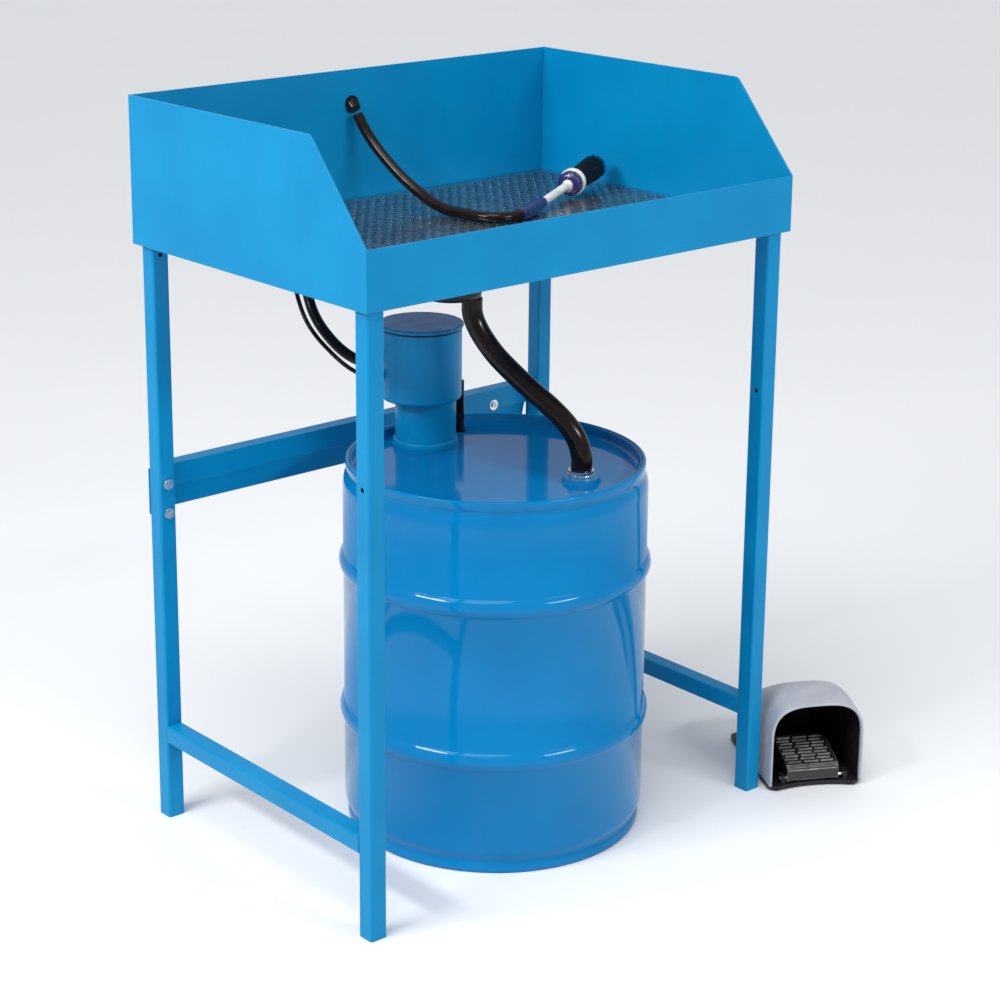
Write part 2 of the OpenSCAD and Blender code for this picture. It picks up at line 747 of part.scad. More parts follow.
// Worm-drive clamp at the pump's outlet and a crimped band below the elbow
module hose_clamps() color(steel) in_frame() {
    band_r = supply_hose_d / 2 + 0.25;
    translate([pump_x, pump_y, outlet_z]) rotate([0, 90, riser_angle]) translate([0, 0, 68])
        difference() {
            union() {
                cylinder(r = band_r + 1.4, h = 9);
                translate([band_r, -6, 1]) cube([7, 12, 7]);
            }
            translate([0, 0, -1]) cylinder(r = band_r, h = 12);
        }
    translate([0, tub_d + elbow_back, elbow_z - 26]) pipe(band_r + 1.2, band_r, 8);
}

// ---- brush ----

module brush_hose_rear() color(rubber) in_frame() {
    hose(brush_route_rear, supply_hose_d, [0, 0, 1]);
}
module brush_hose_front() color(rubber) in_frame() {
    hose(brush_route_front, supply_hose_d, [0, 0, 1]);
}

sleeve_l = 34;
handle_l = 92;
module brush_sleeve() color(navy) along_brush() {
    difference() {
        cylinder(r1 = 8.6, r2 = 7.6, h = sleeve_l);
        translate([0, 0, sleeve_l - 12]) cylinder(r = 5.05, h = 14);
    }
}
module brush_handle() color(pale) along_brush() {
    translate([0, 0, sleeve_l - 12]) difference() {
        union() {
            cylinder(r = 5, h = 12);
            translate([0, 0, 12]) rotate_extrude() polygon([
                [0, 0], [6.4, 0], [6.4, 3], [5.6, 6], [5.6, handle_l - 8], [7.5, handle_l - 2],
                [7.5, handle_l], [0, handle_l]
            ]);
        }
        translate([0, 0, -1]) cylinder(r = 2.5, h = handle_l + 20);
    }
}

// Ferrule: a fluted nut and the ring that clamps the bristles
nut_r = 17.5;
clamp_ring_r = 19;
module brush_ferrule() color(navy) along_brush() {
    translate([0, 0, sleeve_l + handle_l]) difference() {
        union() {
            cylinder(r1 = 9, r2 = nut_r, h = 5);
            translate([0, 0, 5]) cylinder(r = nut_r, h = 9);
            translate([0, 0, 14]) cylinder(r = clamp_ring_r, h = 8);
        }
        for (a = [0:30:330]) rotate([0, 0, a]) translate([nut_r + 1, 0, 4]) cylinder(r = 2, h = 10);
        translate([0, 0, 12]) cylinder(r = bristle_d / 2 - 1.9, h = 11);
        translate([0, 0, -1]) cylinder(r = 2.5, h = 20);
    }
}
module brush_bristles() color(black) along_brush() {
    root_r = bristle_d / 2 - 2;
    translate([0, 0, sleeve_l + handle_l + 12]) {
        cylinder(r = root_r, h = 11);
        translate([0, 0, 11]) cylinder(r1 = root_r, r2 = bristle_d / 2, h = bristle_l - 6);
        translate([0, 0, bristle_l + 5]) cylinder(r1 = bristle_d / 2, r2 = bristle_d / 2 - 5, h = 4);
    }
}

// ---- foot switch ----

base_z = 3;
base_t = 5;
pivot_y = 14;
pivot_z = 14;
pivot_r = 3;

// The base's front edge is hollowed by a wide arc between the hood's two feet
mouth_arc_r = 170;
mouth_recess = 9;

// Plan outline of the base
module switch_plan() {
    translate([switch_w / 2, switch_l / 2]) soft_square(switch_w, switch_l, switch_corner);
}

// Switch unit under the treadle, with its plunger
module contact_block() color(hood_grey) in_switch() {
    translate([38, 56, base_z + base_t]) cube([18, 22, 22]);
    translate([47, 67, base_z + base_t + 22]) cylinder(r = 3, h = 3.5);
}

// Base with pivot lugs, a spring seat, a terminal block and rubber feet
module switch_base() color(black) in_switch() {
    translate([0, 0, base_z]) linear_extrude(base_t) difference() {
        switch_plan();
        translate([switch_w / 2, -mouth_arc_r + mouth_recess]) circle(mouth_arc_r, $fn = 96);
    }
    for (x = [14, switch_w - 14], y = [14, switch_l - 14])
        translate([x, y, 0]) cylinder(r = 9, h = base_z + 1);
    difference() {
        for (x = [20, switch_w - 26]) translate([x, pivot_y - 7, base_z]) cube([6, 14, 17]);
        translate([0, pivot_y, pivot_z]) rotate([0, 90, 0]) cylinder(r = pivot_r, h = switch_w);
    }
    translate([switch_w / 2, 66, base_z + base_t]) cylinder(r = 4, h = 6);
    translate([44, 118, base_z + base_t]) cube([50, 34, 26]);
}

// One arch of the hood, of width w and height h: upright sides that turn into a flat crown
arch_start = 70;
arch_square = 3.2;
arch_steps = 28;
function arch_power(x) = sign(x) * pow(abs(x), 2 / arch_square);
function arch_points(w, h) = let (foot = min(arch_start, 0.55 * h)) concat(
    [[-w / 2, 0], [w / 2, 0]],
    [for (i = [0:arch_steps]) let (a = 180 * i / arch_steps)
        [w / 2 * arch_power(cos(a)), foot + (h - foot) * arch_power(sin(a))]]
);

// The hood's arches from the mouth to the back: place along its length, width and height
hood_arches = [
    [0, switch_w - 1, switch_h - 8], [28, switch_w - 1, switch_h - 2], [56, switch_w, switch_h],
    [84, switch_w, switch_h - 8], [120, switch_w - 2, switch_h - 27],
    [150, switch_w - 6, switch_h - 45], [172, switch_w - 14, switch_h - 62],
    [184, switch_w - 26, switch_h - 77], [switch_l - 1, switch_w - 40, switch_h - 90]
];

// Solid of the hood's form, drawn in by inset all round and run out through the mouth
module hood_form(inset) {
    slab = 0.5;
    hull() for (a = hood_arches)
        translate([switch_w / 2, a[0] > 0 ? a[0] + slab - inset : -2 * inset + slab, 0])
            rotate([90, 0, 0]) linear_extrude(slab)
                polygon(arch_points(a[1] - 2 * inset, a[2] - inset));
}

// Guard hood: a moulded arch shell, open at the mouth, that stands on the base's edge
module switch_hood() color(hood_grey) in_switch() {
    difference() {
        hood_form(0);
        hood_form(4);
        translate([-1, -20, -1]) cube([switch_w + 2, switch_l + 30, base_z + base_t + 1.02]);
        translate([switch_w / 2, switch_l + 1, 24]) rotate([90, 0, 0]) cylinder(r = 8, h = 20);
    }
    translate([switch_w / 2, switch_l - 4, 24]) rotate([-90, 0, 0]) pipe(8, 3, 3.5);
}

// Treadle: a ribbed plate that rises towards the toe, on two cheeks with the pivot bore, and
// an apron in front of the pivot
tread_z = 30;
tread_l = 66;
tread_rise = 17;
tread_w = 76;
rib_rows = 9;
module pedal() color(black) in_switch() {
    x0 = (switch_w - tread_w) / 2 - 2;
    slope = atan2(tread_rise, tread_l);
    difference() {
        union() {
            translate([x0, 12, tread_z]) rotate([slope, 0, 0]) cube([tread_w, tread_l, 4]);
            for (x = [x0, x0 + tread_w - 4]) translate([x, 0, 0]) rotate([90, 0, 90])
                linear_extrude(4) polygon(concat(
                    [[9, 10], [20, 10], [42, 21], [75, 43], [75, 47], [13, 33.5]],
                    arc([14, 25], 7, 120, 180, 5)
                ));
            for (x = [x0, x0 + tread_w - 8]) translate([x, pivot_y, pivot_z]) rotate([0, 90, 0])
                cylinder(r = 5.5, h = 8);
            translate([x0, 7.2, 12]) cube([tread_w, 1.6, 15]);
            translate([x0, 8, 25]) cube([tread_w, 6, 6]);
        }
        translate([0, pivot_y, pivot_z]) rotate([0, 90, 0])
            cylinder(r = pivot_r + 0.06, h = switch_w);
    }
    translate([x0, 12, tread_z + 4]) rotate([slope, 0, 0]) for (j = [0:rib_rows - 1], i = [0:2])
        translate([4 + i * 24 - (j % 2) * 3, 4 + j * 6.8, -0.5])
            cube([i == 1 ? 20 : 18, 2.6, 2.3]);
}

module pedal_pin() color(steel) in_switch() {
    translate([19, pivot_y, pivot_z]) rotate([0, 90, 0]) cylinder(r = pivot_r, h = switch_w - 38);
}

// Return spring under the treadle, as a coil swept along a helix
spring_r = 7;
spring_wire = 1.6;
spring_turns = 5;
spring_low = base_z + base_t + 1;
spring_high = 42;
module pedal_spring() color(steel) in_switch() {
    n = spring_turns * 12;
    path = [for (i = [0:n]) [
        switch_w / 2 + spring_r * cos(30 * i), 66 + spring_r * sin(30 * i),
        spring_low + (spring_high - spring_low) * i / n
    ]];
    hose(path, spring_wire, [0, 0, 1], 6, 1);
}

// ---- assembly ----

tub();
leg_front_left();
leg_front_right();
leg_rear_left();
leg_rear_right();
side_bar_left();
side_bar_right();
cross_member();
leg_sockets();
leg_end_plugs();
socket_bolts();
cross_bolts();
cross_nuts();
earth_screw();
grate();
grate_supports();
drain_trap();
trap_gasket();
trap_ring();
strainer_basket();
drum_body();
drum_head();
drum_base();
drain_bung();
vent_pipe();
drain_hose();
pump_collar();
pump_neck();
pump_housing();
pump_gasket();
pump_lid();
motor_stator();
motor_rotor();
pump_shaft();
pump_column();
pump_chamber();
impeller();
riser_tube();
outlet_spigot();
inlet_screen();
cable_glands();
supply_hose();
pump_lead();
junction_box();
junction_cover();
wall_elbow();
hose_grommet();
hose_clamps();
brush_hose_rear();
brush_hose_front();
brush_sleeve();
brush_handle();
brush_ferrule();
brush_bristles();
switch_base();
switch_hood();
contact_block();
pedal();
pedal_pin();
pedal_spring();
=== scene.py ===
"""Looks of the parts washer tank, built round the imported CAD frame. Metres, +Z up."""

import json
import math
import random

import bmesh
import bpy
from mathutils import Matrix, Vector


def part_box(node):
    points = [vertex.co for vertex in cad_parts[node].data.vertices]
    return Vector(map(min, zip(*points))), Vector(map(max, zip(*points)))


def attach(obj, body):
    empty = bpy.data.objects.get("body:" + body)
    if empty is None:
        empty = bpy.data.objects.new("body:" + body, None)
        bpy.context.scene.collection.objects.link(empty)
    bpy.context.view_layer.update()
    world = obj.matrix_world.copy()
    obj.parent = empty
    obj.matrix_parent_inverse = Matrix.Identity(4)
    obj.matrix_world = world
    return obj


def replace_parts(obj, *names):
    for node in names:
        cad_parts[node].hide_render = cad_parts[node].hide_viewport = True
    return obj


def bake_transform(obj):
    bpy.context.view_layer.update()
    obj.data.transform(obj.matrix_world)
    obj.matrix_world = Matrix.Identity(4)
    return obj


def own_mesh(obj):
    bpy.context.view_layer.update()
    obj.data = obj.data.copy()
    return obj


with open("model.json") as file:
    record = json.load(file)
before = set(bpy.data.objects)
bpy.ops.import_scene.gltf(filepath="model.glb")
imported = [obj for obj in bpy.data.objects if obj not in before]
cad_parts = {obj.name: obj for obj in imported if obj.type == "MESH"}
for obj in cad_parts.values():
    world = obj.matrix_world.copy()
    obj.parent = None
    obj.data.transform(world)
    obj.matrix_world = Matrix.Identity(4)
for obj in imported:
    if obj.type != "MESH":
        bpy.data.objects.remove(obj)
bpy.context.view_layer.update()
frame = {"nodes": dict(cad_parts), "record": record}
random.seed(11)

MM = 0.001

# Every place below is measured from the middle of the tub's front edge, on the floor
tub_low, tub_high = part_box("tub")
ORIGIN = Vector(((tub_low.x + tub_high.x) / 2, tub_low.y, 0))


def place(x, y, z):
    """A point in the row frame, from millimetres measured at the middle of the tub's front edge."""
    return ORIGIN + Vector((x, y, z)) * MM


# ---- camera ----

CAMERA_AT = (-1990, -2080, 1473)
CAMERA_DOWN = 15.67
CAMERA_YAW = -39.42


def make_camera():
    """The photograph's viewing angle: from the front left, above the tub."""
    data = bpy.data.cameras.new("camera")
    data.sensor_width = 36
    data.lens = 85.3
    data.shift_x = 0.08
    data.shift_y = -0.12
    camera = bpy.data.objects.new("camera", data)
    bpy.context.scene.collection.objects.link(camera)
    camera.location = place(*CAMERA_AT)
    camera.rotation_euler = (math.radians(90 - CAMERA_DOWN), 0, math.radians(CAMERA_YAW))
    bpy.context.scene.camera = camera


make_camera()


# ---- mesh helpers ----

def add_object(name, data, body="root"):
    obj = bpy.data.objects.new(name, data)
    bpy.context.scene.collection.objects.link(obj)
    if body:
        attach(obj, body)
    return obj


def mesh_object(name, verts, faces, material, body="root", smooth=True):
    mesh = bpy.data.meshes.new(name)
    mesh.from_pydata([tuple(v) for v in verts], [], faces)
    mesh.validate()
    if smooth:
        mesh.shade_smooth()
    mesh.materials.append(material)
    return add_object(name, mesh, body)


def catmull(points, steps):
    """Smooth curve through points, with that many steps between neighbours."""
    out = []
    last = len(points) - 1
    for i in range(last):
        p, q, r, s = (points[max(0, min(last, i + k))] for k in (-1, 0, 1, 2))
        for k in range(steps):
            t = k / steps
            out.append(0.5 * (2 * q + (r - p) * t + (2 * p - 5 * q + 4 * r - s) * t * t
                              + (3 * q - p - 3 * r + s) * t ** 3))
    out.append(points[last].copy())
    return out


def sweep(path, radii, sides):
    """Verts and faces of a round tube with closed ends, its rings carried along without twist."""
    normal = (path[1] - path[0]).orthogonal().normalized()
    verts, faces = [], []
    for i, p in enumerate(path):
        heading = (path[min(i + 1, len(path) - 1)] - path[max(i - 1, 0)]).normalized()
        normal = (normal - heading * normal.dot(heading)).normalized()
        other = heading.cross(normal)
        radius = radii[i] if hasattr(radii, "__len__") else radii
        for k in range(sides):
            a = 2 * math.pi * k / sides
            verts.append(p + (normal * math.cos(a) + other * math.sin(a)) * radius)
    for i in range(len(path) - 1):
        for k in range(sides):
            a, b = i * sides + k, i * sides + (k + 1) % sides
            faces.append((a, b, b + sides, a + sides))
    faces.append(tuple(range(sides - 1, -1, -1)))
    faces.append(tuple((len(path) - 1) * sides + k for k in range(sides)))
    return verts, faces


def ring_faces(n, sides):
    """Faces that join copies of a closed outline of n points all the way round."""
    faces = []
    for k in range(sides):
        k2 = (k + 1) % sides
        for i in range(n):
            j = (i + 1) % n
            faces.append((k * n + i, k2 * n + i, k2 * n + j, k * n + j))
    return faces


def lathe(profile, sides, centre, turn=None):
    """Verts and faces of a ring-shaped body turned from a closed outline of (radius, height)."""
    verts = []
    for k in range(sides):
        a = 2 * math.pi * k / sides
        for r, z in profile:
            v = Vector((r * math.cos(a), r * math.sin(a), z))
            verts.append(centre + (turn @ v if turn else v))
    return verts, ring_faces(len(profile), sides)


def arc(cx, cy, r, a, b, n):
    """Points of an arc round (cx, cy), angles in degrees, in n steps."""
    return [(cx + r * math.cos(math.radians(a + (b - a) * i / n)),
             cy + r * math.sin(math.radians(a + (b - a) * i / n))) for i in range(n + 1)]


def sharp_by_angle(obj, degrees):
    """Smooth shading with crisp edges where faces meet at more than this angle."""
    mesh = obj.data
    mesh.shade_smooth()
    mesh.set_sharp_from_angle(angle=math.radians(degrees))


def mend(obj):
    """Makes every face of a closed mesh look outwards."""
    work = bmesh.new()
    work.from_mesh(obj.data)
    bmesh.ops.recalc_face_normals(work, faces=work.faces)
    work.to_mesh(obj.data)
    work.free()


# ---- materials ----

def new_material(name):
    material = bpy.data.materials.new(name)
    material.use_nodes = True
    nodes, links = material.node_tree.nodes, material.node_tree.links
    shader = nodes["Principled BSDF"]
    return material, nodes, links, shader


def noise(nodes, links, coords, scale, detail, stretch=None):
    """A noise texture in object space, in metres; stretch lengthens its grain along an axis."""
    texture = nodes.new("ShaderNodeTexNoise")
    texture.inputs["Scale"].default_value = scale
    texture.inputs["Detail"].default_value = detail
    source = coords.outputs["Object"]
    if stretch:
        mapping = nodes.new("ShaderNodeMapping")
        mapping.inputs["Scale"].default_value = stretch
        links.new(source, mapping.inputs["Vector"])
        source = mapping.outputs["Vector"]
    links.new(source, texture.inputs["Vector"])
    return texture.outputs["Fac"]


def ramp(nodes, links, value, stops):
    """A colour ramp; stops are (position, colour)."""
    node = nodes.new("ShaderNodeValToRGB")
    elements = node.color_ramp.elements
    while len(elements) < len(stops):
        elements.new(0.5)
    for element, (position, colour) in zip(elements, stops):
        element.position = position
        element.color = (*colour, 1)
    links.new(value, node.inputs["Fac"])
    return node.outputs["Color"]


def span(nodes, links, value, low, high, out_low, out_high):
    """Maps a value from one range to another."""
    node = nodes.new("ShaderNodeMapRange")
    limits = {"From Min": low, "From Max": high, "To Min": out_low, "To Max": out_high}
    for key, number in limits.items():
        node.inputs[key].default_value = number
    links.new(value, node.inputs["Value"])
    return node.outputs["Result"]


def mix(nodes, links, factor, a, b):
    """Mixes two colours; each is a colour or a socket."""
    node = nodes.new("ShaderNodeMix")
    node.data_type = "RGBA"
    links.new(factor, node.inputs["Factor"])
    for key, value in (("A", a), ("B", b)):
        socket = [s for s in node.inputs if s.name == key and s.type == "RGBA"][0]
        if isinstance(value, tuple):
            socket.default_value = (*value, 1)
        else:
            links.new(value, socket)
    return [s for s in node.outputs if s.type == "RGBA"][0]


def rounded_normal(nodes, radius):
    """The surface's normal with its sharp edges rounded by that radius."""
    bevel = nodes.new("ShaderNodeBevel")
    bevel.samples = 4
    bevel.inputs["Radius"].default_value = radius
    return bevel.outputs["Normal"]


def bump(nodes, links, shader, height, distance, strength, edge):
    """Bump from a height; edge rounds the sharp edges of the lighting by that radius."""
    node = nodes.new("ShaderNodeBump")
    node.inputs["Distance"].default_value = distance
    node.inputs["Strength"].default_value = strength
    links.new(height, node.inputs["Height"])
    links.new(rounded_normal(nodes, edge), node.inputs["Normal"])
    links.new(node.outputs["Normal"], shader.inputs["Normal"])


def edge_mask(nodes, links, radius):
    """1 along sharp edges, within that radius, and 0 on flats."""
    # The mask lightens sharp edges: real wear on the pedal tread, a painted highlight on the frame
    flat, worn = 0.98, 0.80
    geometry = nodes.new("ShaderNodeNewGeometry")
    dot = nodes.new("ShaderNodeVectorMath")
    dot.operation = "DOT_PRODUCT"
    links.new(rounded_normal(nodes, radius), dot.inputs[0])
    links.new(geometry.outputs["Normal"], dot.inputs[1])
    return span(nodes, links, dot.outputs["Value"], flat, worn, 0, 1)


def roughen(nodes, links, shader, value, low, high):
    """Drives the roughness between two values by a noise."""
    links.new(span(nodes, links, value, 0.3, 0.7, low, high), shader.inputs["Roughness"])


def gloss(shader, coat, coat_rough, specular):
    shader.inputs["Specular IOR Level"].default_value = specular
    shader.inputs["Coat Weight"].default_value = coat
    shader.inputs["Coat Roughness"].default_value = coat_rough


def paint(name, deep, light, rough, peel, coat, edge, wear_and_highlight_tone=None, specular=0.5):
    """Powder coat or enamel: fine orange peel, faint cloudiness and, with a tone, lighter edges: real
    wear on the pedal tread, a painted edge highlight on the frame.
    """
    material, nodes, links, shader = new_material(name)
    coords = nodes.new("ShaderNodeTexCoord")
    clouds = noise(nodes, links, coords, scale=9, detail=5)
    colour = ramp(nodes, links, clouds, [(0.35, deep), (0.68, light)])
    if wear_and_highlight_tone:
        # Lighter tone along sharp edges, in patches: a painted edge highlight on the frame, real wear
        # on the pedal tread
        wear_and_highlight = nodes.new("ShaderNodeMath")
        wear_and_highlight.operation = "MULTIPLY"
        links.new(edge_mask(nodes, links, edge), wear_and_highlight.inputs[0])
        patches = noise(nodes, links, coords, scale=60, detail=3)
        links.new(span(nodes, links, patches, 0.35, 0.65, 0.35, 1), wear_and_highlight.inputs[1])
        colour = mix(nodes, links, wear_and_highlight.outputs["Value"], colour, wear_and_highlight_tone)
    links.new(colour, shader.inputs["Base Color"])
    haze = noise(nodes, links, coords, scale=35, detail=6)
    roughen(nodes, links, shader, haze, rough * 0.85, rough * 1.2)
    gloss(shader, coat, 0.05, specular)
    orange_peel = noise(nodes, links, coords, scale=700, detail=2)
    bump(nodes, links, shader, orange_peel, peel, 1.0, edge)
    return material


def metal(name, dark, light, rough, grain=(1, 1, 1), spangle=False):
    """Bare or plated metal: tonal flow or zinc spangle, fine grain and roughness variation."""
    material, nodes, links, shader = new_material(name)
    coords = nodes.new("ShaderNodeTexCoord")
    if spangle:
        cells = nodes.new("ShaderNodeTexVoronoi")
        cells.inputs["Scale"].default_value = 90
        links.new(coords.outputs["Object"], cells.inputs["Vector"])
        tone = nodes.new("ShaderNodeSeparateColor")
        links.new(cells.outputs["Color"], tone.inputs["Color"])
        value = tone.outputs["Red"]
    else:
        value = noise(nodes, links, coords, scale=40, detail=5, stretch=grain)
    links.new(ramp(nodes, links, value, [(0.3, dark), (0.7, light)]), shader.inputs["Base Color"])
    shader.inputs["Metallic"].default_value = 1.0
    fine = noise(nodes, links, coords, scale=300, detail=3, stretch=grain)
    roughen(nodes, links, shader, fine, rough * 0.75, rough * 1.3)
    bump(nodes, links, shader, fine, 0.00002, 0.6, 0.0004)
    return material


def plastic(name, dark, light, rough, grain, depth, edge=0.0006, coat=0.0, specular=0.5):
    """Moulded plastic or rubber: fine grain, dusty tone variation and soft edges."""
    material, nodes, links, shader = new_material(name)
    coords = nodes.new("ShaderNodeTexCoord")
    dust = noise(nodes, links, coords, scale=45, detail=6)
    links.new(ramp(nodes, links, dust, [(0.35, dark), (0.72, light)]), shader.inputs["Base Color"])
    smears = noise(nodes, links, coords, scale=130, detail=4)
    roughen(nodes, links, shader, smears, rough * 0.85, rough * 1.2)
    gloss(shader, coat, 0.12, specular)
    bump(nodes, links, shader, noise(nodes, links, coords, grain, 3), depth, 1.0, edge)
    return material


# The frame's edge tone is a lighter blue: a painted highlight along its sharp edges, broken up in
# patches
FRAME_PAINT = paint("frame_paint", (0.0005, 0.20, 0.43), (0.001, 0.23, 0.47), rough=0.33,
                    peel=0.00002, coat=0.02, edge=0.0012, wear_and_highlight_tone=(0.06, 0.38, 0.62),
                    specular=0.14)
DRUM_PAINT = paint("drum_paint", (0.0005, 0.16, 0.39), (0.001, 0.175, 0.42), rough=0.09,
                   peel=0.00001, coat=0.14, edge=0.0008, specular=0.12)
PLATED = metal("plated_steel", (0.62, 0.64, 0.66), (0.80, 0.81, 0.82), rough=0.22)
GALVANISED = metal("galvanised_sheet", (0.40, 0.41, 0.42), (0.50, 0.51, 0.52), rough=0.28,
                   spangle=True)
STAINLESS = metal("stainless_steel", (0.50, 0.50, 0.51), (0.66, 0.66, 0.67), rough=0.30,
                  grain=(1, 1, 12))
RUBBER = plastic("rubber_black", (0.006, 0.003, 0.003), (0.014, 0.007, 0.006), rough=0.18,
                 grain=900, depth=0.00001, coat=0.02, specular=0.20)
BLACK = plastic("plastic_black", (0.008, 0.008, 0.009), (0.018, 0.018, 0.020), rough=0.42,
                grain=1400, depth=0.00003, specular=0.30)
NAVY = plastic("plastic_navy", (0.010, 0.012, 0.075), (0.016, 0.019, 0.105), rough=0.28,
               grain=700, depth=0.00001, coat=0.3)
WHITE = plastic("plastic_white", (0.62, 0.61, 0.57), (0.78, 0.77, 0.74), rough=0.32,
                grain=700, depth=0.00001, coat=0.2)
BRISTLE = plastic("bristle_black", (0.004, 0.004, 0.005), (0.014, 0.013, 0.013), rough=0.40,
                  grain=1200, depth=0.00001, specular=0.25)
HOOD_GREY = plastic("hood_grey", (0.36, 0.37, 0.42), (0.42, 0.43, 0.48), rough=0.42,
                    grain=1500, depth=0.00003, edge=0.0025)

SLOT_MATERIALS = {
    "frame_paint": FRAME_PAINT, "drum_paint": DRUM_PAINT, "plated_steel": PLATED,
    "galvanised_sheet": GALVANISED, "stainless_steel": STAINLESS, "rubber_black": RUBBER,
    "plastic_black": BLACK, "plastic_navy": NAVY, "plastic_white": WHITE,
    "bristle_black": BRISTLE, "hood_grey": HOOD_GREY,
}


def finish_cad_nodes():
    """Gives every CAD node the material of its slot."""
    for part in frame["record"]["subparts"]:
        obj = frame["nodes"][part["node"]]
        obj.data.materials.clear()
        obj.data.materials.append(SLOT_MATERIALS[part["material_slot"]])


finish_cad_nodes()

TREAD = paint("plastic_black_worn", (0.008, 0.008, 0.009), (0.016, 0.016, 0.018), rough=0.30,
              peel=0.00002, coat=0.20, edge=0.0016, wear_and_highlight_tone=(0.60, 0.60, 0.62))
frame["nodes"]["pedal"].data.materials[0] = TREAD


# ---- brush ----

BRUSH_START = place(116.6, 244.3, 833.1)
BRUSH_RISE = math.radians(5)
BRUSH_YAW = math.radians(25)
BRUSH_HEADING = Vector((math.cos(BRUSH_RISE) * math.cos(BRUSH_YAW),
                        math.cos(BRUSH_RISE) * math.sin(BRUSH_YAW),
                        math.sin(BRUSH_RISE)))
BRUSH_TURN = Vector((0, 0, 1)).rotation_difference(BRUSH_HEADING).to_matrix()
NUT_AT = 126 * MM
NUT_FLUTES = 12
FLUTE_DEEP = 1.3
FILAMENTS = 640
GOLDEN_ANGLE = 2.399963


def along_brush(x, y, z):
    """A point measured across and along the brush, from the end of its hose."""
    return BRUSH_START + BRUSH_TURN @ Vector((x, y, z))


def make_nut():
    """Fluted nut behind the ring: twelve soft hollows round its side."""
    profile = [(9, 0), (12, 0.6), (16.4, 3.6), (17.5, 6), (17.5, 12.5), (16.6, 14.2),
               (5, 14.2), (5, 0)]
    sides = NUT_FLUTES * 12
    verts = []
    for k in range(sides):
        turn = 2 * math.pi * k / sides
        dip = FLUTE_DEEP * max(0.0, math.cos(NUT_FLUTES * turn)) ** 2
        for r, z in profile:
            fluted = 4 <= z <= 13 and r > 12
            r = (r - dip if fluted else r) * MM
            verts.append(along_brush(r * math.cos(turn), r * math.sin(turn), NUT_AT + z * MM))
    nut = mesh_object("brush_nut", verts, ring_faces(len(profile), sides), NAVY, "brush")
    sharp_by_angle(nut, 40)
    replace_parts(nut, "brush_ferrule")


def make_ring():
    """White ring in front of the nut, rounded at both rims."""
    profile = arc(17.8, 15.4, 1.2, -90, 0, 4) + [(19, 20.5)] + arc(17.8, 20.8, 1.2, 0, 90, 4)
    profile += [(15.6, 22), (15.0, 14.2)]
    verts, faces = lathe([(r * MM, z * MM) for r, z in profile], 96,
                         along_brush(0, 0, NUT_AT), BRUSH_TURN)
    ring = mesh_object("brush_ring", verts, faces, WHITE, "brush")
    sharp_by_angle(ring, 40)


def make_filaments():
    """A bundle of separate filaments, a little longer and wider spread to the outside."""
    verts, faces = [], []
    root_r = 14.6 * MM
    tip_r = 18.0 * MM
    for k in range(FILAMENTS):
        reach = math.sqrt((k + 0.5) / FILAMENTS)
        turn = k * GOLDEN_ANGLE
        lean = turn + random.uniform(-0.12, 0.12)
        length = (88 + 9 * (1 - reach) + random.uniform(-3, 2)) * MM
        sway = random.uniform(-0.6, 0.6) * MM
        spine = []
        for i in range(4):
            t = i / 3
            r = reach * (root_r + (tip_r - root_r) * t ** 1.5) + sway * t
            a = turn + (lean - turn) * t
            spine.append(along_brush(r * math.cos(a), r * math.sin(a),
                                     NUT_AT + 13 * MM + length * t))
        tube, skin = sweep(spine, [0.62 * MM, 0.6 * MM, 0.55 * MM, 0.3 * MM], 4)
        faces += [tuple(v + len(verts) for v in face) for face in skin]
        verts += tube
    core, skin = lathe([(0.5 * MM, 12.5 * MM), (root_r, 12.5 * MM), (root_r + 0.5 * MM, 30 * MM),
                        (root_r * 0.8, 70 * MM), (0.5 * MM, 80 * MM)], 48,
                       along_brush(0, 0, NUT_AT), BRUSH_TURN)
    faces += [tuple(v + len(verts) for v in face) for face in skin]
    verts += core
    bundle = mesh_object("brush_filaments", verts, faces, BRISTLE, "brush")
    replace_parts(bundle, "brush_bristles")


make_nut()
make_ring()
make_filaments()


# ---- hoses ----

HOSE_D = 0.015
TAIL_RADII = [8.2 * MM, 8.9 * MM, 9.3 * MM] + [9.5 * MM] * 11

# The same points as the CAD routes, in millimetres, for place()
BRUSH_ROUTE_REAR = [
    (0, 476, 944), (3, 464, 925), (7, 446, 904), (11, 424, 885), (15, 399, 867),
    (19, 372, 852), (22, 344, 840), (25, 315, 833), (28, 292, 832),
]
BRUSH_ROUTE_FRONT = [
    (28, 291, 832), (30, 275, 832), (32, 258, 832), (38, 243, 832), (50, 232, 832),
    (66, 228, 832), (84, 231, 832), (100, 237, 832), (116, 244, 833),
]
DRAIN_ROUTE = [
    (-6, 225, 733), (-6, 225, 716), (-4, 221, 700), (1, 210, 680), (9, 193, 658),
    (20, 170, 636), (32, 146, 615), (44, 123, 596), (54, 103, 576), (61, 90, 555),
    (64, 84, 533), (64, 84, 516),
]
SUPPLY_ROUTE = [
    (-42, 380, 620), (-54, 389, 620), (-64, 396, 622), (-73, 405, 628), (-80, 420, 638),
    (-84, 440, 652), (-84, 461, 667), (-81, 480, 684), (-77, 495, 707), (-71, 505, 737),
    (-61, 509, 775), (-45, 509, 820), (-24, 509, 865), (-8, 509, 900), (0, 509, 922),
    (0, 509, 944),
]
LEAD_ROUTE = [
    (-62, 365, 606), (-74, 370, 608), (-85, 381, 614), (-93, 397, 624), (-98, 418, 637),
    (-101, 440, 651), (-101, 462, 667), (-99, 480, 686), (-97, 494, 710), (-97, 501, 740),
    (-99, 504, 775), (-100, 504, 805), (-100, 504, 832),
]


def hose(name, route, diameter, node, body="root", sides=28):
    """A smooth hose along a CAD route, in place of the plain CAD tube."""
    path = catmull([place(*p) for p in route], 6)
    verts, faces = sweep(path, diameter / 2, sides)
    obj = mesh_object(name, verts, faces, RUBBER, body)
    sharp_by_angle(obj, 50)
    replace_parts(obj, node)
    return obj, path


